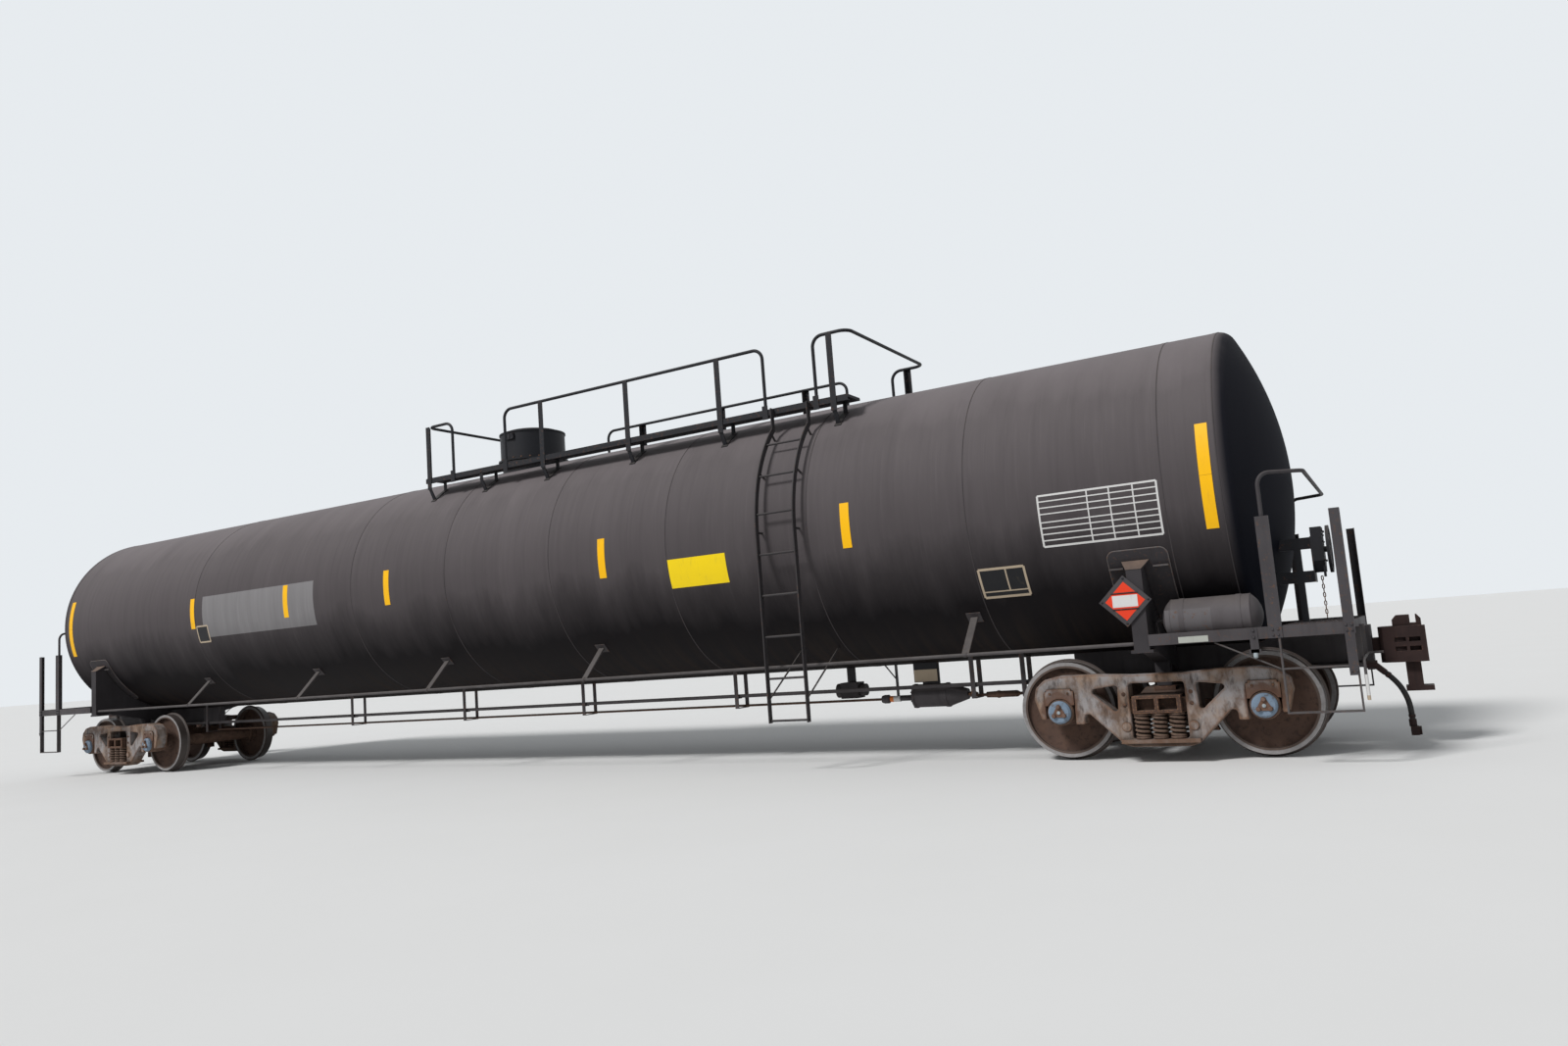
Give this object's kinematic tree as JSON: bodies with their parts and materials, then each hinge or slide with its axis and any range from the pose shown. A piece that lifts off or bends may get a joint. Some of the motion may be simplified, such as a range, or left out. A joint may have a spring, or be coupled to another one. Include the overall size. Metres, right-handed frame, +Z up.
{
  "type": "railway tank car",
  "caption": "Railway tank car: a long jacketed pressure tank on swivelling trucks, with end platforms, ladders, a railed top platform, a valve housing and knuckle couplers.",
  "frame": {"origin": "under the middle of the car, level with the lowest tips of the wheel flanges, 25 mm below the tops of the rails", "axes": "+X along the car towards the hand brake end, +Y across it to the far side, +Z up"},
  "size_m": [21.196, 3.294, 4.6459],
  "materials": {
    "tank_jacket": "satin dark brown-grey paint, weathered",
    "underframe": "dark paint with rust and dirt",
    "dark_steel": "dark painted bar and pipe",
    "rusty_casting": "rough cast steel with brown rust",
    "wheel_steel": "rusted plate with a worn bright tread",
    "valve_metal": "dull grey",
    "placard": "red board with a blank pale panel",
    "hose_rubber": "black rubber"
  },
  "bodies": {
    "car": {"tank_shell": "tank_jacket", "stub_sills": "underframe", "body_bolsters": "underframe", "end_platforms": "underframe", "end_railings": "dark_steel", "sill_steps": "dark_steel", "side_handrails": "dark_steel", "side_ladders": "dark_steel", "top_platform": "dark_steel", "platform_railing": "dark_steel", "valve_housing": "tank_jacket", "valves": "valve_metal", "handbrake_stand": "dark_steel", "handbrake_gear": "dark_steel", "air_reservoir": "underframe", "brake_cylinder": "underframe", "control_valve": "underframe", "train_pipe": "dark_steel", "brake_rigging": "dark_steel", "placard_boards": "placard", "uncoupling_levers": "dark_steel", "angle_cocks": "rusty_casting", "air_hose": "hose_rubber", "hose_coupling": "rusty_casting"},
    "housing_lid": {"housing_lid": "tank_jacket"},
    "truck_b": {"side_frames_b": "rusty_casting", "truck_bolster_b": "rusty_casting", "spring_nests_b": "rusty_casting", "brake_beams_b": "rusty_casting"},
    "truck_a": {"side_frames_a": "rusty_casting", "truck_bolster_a": "rusty_casting", "spring_nests_a": "rusty_casting", "brake_beams_a": "rusty_casting"},
    "wheelset_1": {"wheels_1": "wheel_steel", "axle_1": "wheel_steel"},
    "wheelset_2": {"wheels_2": "wheel_steel", "axle_2": "wheel_steel"},
    "wheelset_3": {"wheels_3": "wheel_steel", "axle_3": "wheel_steel"},
    "wheelset_4": {"wheels_4": "wheel_steel", "axle_4": "wheel_steel"},
    "coupler_b": {"coupler_b": "rusty_casting"},
    "knuckle_b": {"knuckle_b": "rusty_casting"},
    "coupler_a": {"coupler_a": "rusty_casting"},
    "knuckle_a": {"knuckle_a": "rusty_casting"}
  },
  "joints": [
    {"name": "truck_b_swivel", "type": "hinge", "parent": "car", "child": "truck_b", "pos_m": [8.425, 0, 0.679], "axis": [0, 0, 1], "range_deg": [-9, 9]},
    {"name": "truck_a_swivel", "type": "hinge", "parent": "car", "child": "truck_a", "pos_m": [-8.425, 0, 0.679], "axis": [0, 0, 1], "range_deg": [-9, 9]},
    {"name": "wheelset_1_roll", "type": "hinge", "parent": "truck_b", "child": "wheelset_1", "pos_m": [9.314, 0, 0.482], "axis": [0, 1, 0], "continuous": true},
    {"name": "wheelset_2_roll", "type": "hinge", "parent": "truck_b", "child": "wheelset_2", "pos_m": [7.536, 0, 0.482], "axis": [0, 1, 0], "continuous": true},
    {"name": "wheelset_3_roll", "type": "hinge", "parent": "truck_a", "child": "wheelset_3", "pos_m": [-7.536, 0, 0.482], "axis": [0, 1, 0], "continuous": true},
    {"name": "wheelset_4_roll", "type": "hinge", "parent": "truck_a", "child": "wheelset_4", "pos_m": [-9.314, 0, 0.482], "axis": [0, 1, 0], "continuous": true},
    {"name": "coupler_b_swing", "type": "hinge", "parent": "car", "child": "coupler_b", "pos_m": [9.76, 0, 0.901], "axis": [0, 0, 1], "range_deg": [-7, 7]},
    {"name": "knuckle_b_open", "type": "hinge", "parent": "coupler_b", "child": "knuckle_b", "pos_m": [10.382, 0.104, 0.901], "axis": [0, 0, 1], "range_deg": [0, 50]},
    {"name": "coupler_a_swing", "type": "hinge", "parent": "car", "child": "coupler_a", "pos_m": [-9.76, 0, 0.901], "axis": [0, 0, 1], "range_deg": [-7, 7]},
    {"name": "knuckle_a_open", "type": "hinge", "parent": "coupler_a", "child": "knuckle_a", "pos_m": [-10.382, -0.104, 0.901], "axis": [0, 0, 1], "range_deg": [0, 50]},
    {"name": "housing_lid_hinge", "type": "hinge", "parent": "car", "child": "housing_lid", "pos_m": [0.105, 0.491, 4.517], "axis": [-1, 0, 0], "range_deg": [0, 110]}
  ]
}
